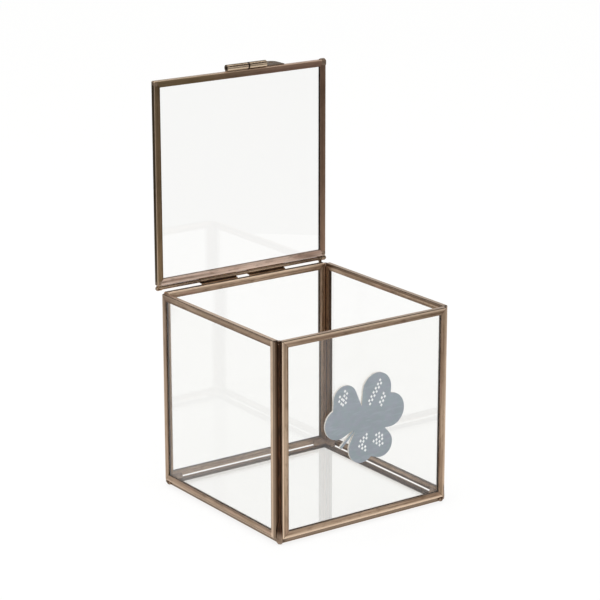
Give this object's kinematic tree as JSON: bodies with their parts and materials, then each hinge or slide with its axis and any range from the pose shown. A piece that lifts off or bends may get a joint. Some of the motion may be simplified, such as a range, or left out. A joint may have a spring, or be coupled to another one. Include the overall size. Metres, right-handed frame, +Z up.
{
  "type": "glass keepsake box",
  "caption": "Clear cube box of glass panes in thin antiqued metal frames, with a hinged lid standing open, a small folding pull and a clover plaque on the front.",
  "frame": {"origin": "middle of the underside of the base, on the table", "axes": "+X to the right seen from the front, +Y to the back where the lid's hinge is, +Z up"},
  "size_m": [0.101, 0.1132, 0.2051],
  "materials": {
    "clear_glass": "clear, polished, very faintly green",
    "antiqued_metal": "antiqued copper brown, satin, with pinkish and olive patches and lighter edges",
    "hinge_metal": "dark antiqued brown, satin",
    "solder": "dark patinated solder, satin",
    "painted_board": "matt blue-grey face with white edges"
  },
  "bodies": {
    "box": {"base_glass": "clear_glass", "front_glass": "clear_glass", "back_glass": "clear_glass", "left_glass": "clear_glass", "right_glass": "clear_glass", "base_frame": "antiqued_metal", "front_rail_bottom": "antiqued_metal", "front_rail_right": "antiqued_metal", "front_rail_top": "antiqued_metal", "front_rail_left": "antiqued_metal", "back_rail_bottom": "antiqued_metal", "back_rail_left": "antiqued_metal", "back_rail_top": "antiqued_metal", "back_rail_right": "antiqued_metal", "left_rail_bottom": "antiqued_metal", "left_rail_front": "antiqued_metal", "left_rail_top": "antiqued_metal", "left_rail_back": "antiqued_metal", "right_rail_bottom": "antiqued_metal", "right_rail_back": "antiqued_metal", "right_rail_top": "antiqued_metal", "right_rail_front": "antiqued_metal", "corner_solder": "solder", "base_tacks": "solder", "hinge_sleeve_left": "hinge_metal", "hinge_sleeve_right": "hinge_metal", "clover_plaque": "painted_board"},
    "lid": {"lid_glass": "clear_glass", "lid_rail_hinge": "antiqued_metal", "lid_rail_left": "antiqued_metal", "lid_rail_front": "antiqued_metal", "lid_rail_right": "antiqued_metal", "hinge_rod": "hinge_metal", "lid_lugs": "hinge_metal", "lid_stop": "hinge_metal", "pull_knuckle": "hinge_metal", "pull_pin": "hinge_metal"},
    "pull_flap": {"pull_flap": "hinge_metal"}
  },
  "joints": [
    {"name": "lid_hinge", "type": "hinge", "parent": "box", "child": "lid", "pos_m": [0, 0.0521, 0.10005], "axis": [1, 0, 0], "range_deg": [-10, 90]},
    {"name": "pull_flap_hinge", "type": "hinge", "parent": "lid", "child": "pull_flap", "pos_m": [0, 0.0524, 0.20345], "axis": [1, 0, 0], "range_deg": [0, 185]}
  ]
}
